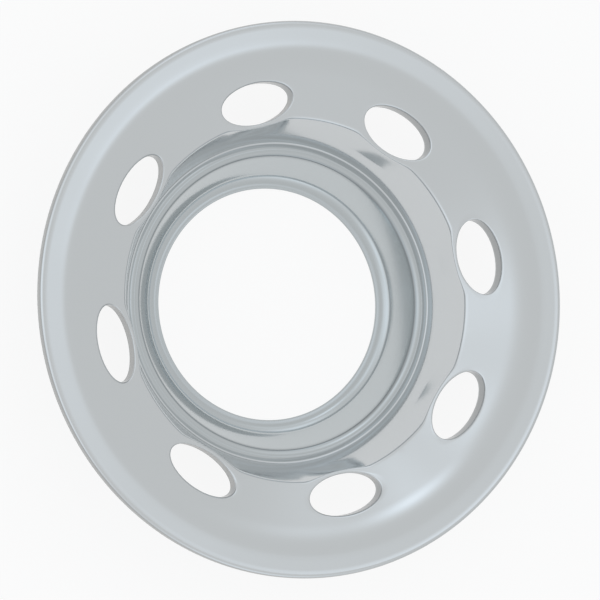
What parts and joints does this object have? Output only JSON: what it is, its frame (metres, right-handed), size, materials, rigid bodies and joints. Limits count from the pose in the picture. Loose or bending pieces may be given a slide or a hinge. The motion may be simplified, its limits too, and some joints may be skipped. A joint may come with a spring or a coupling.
{
  "type": "wheel cover",
  "caption": "Dished chrome wheel cover with oval hand holes, turned-in hole walls, a raised collar and an open centre.",
  "frame": {"origin": "on the wheel axis, in the plane of the rear face of the flat lip round the centre opening", "axes": "+Z along the wheel axis towards the front of the cover; +X is the picture's right and +Y the picture's up, with the hand holes turned 12.5 degrees from +X"},
  "size_m": [0.44, 0.44, 0.09],
  "materials": {
    "chrome_sheet": "mirror-bright, smooth, no wear"
  },
  "bodies": {
    "root": {"wheel_cover": "chrome_sheet"}
  },
  "joints": []
}
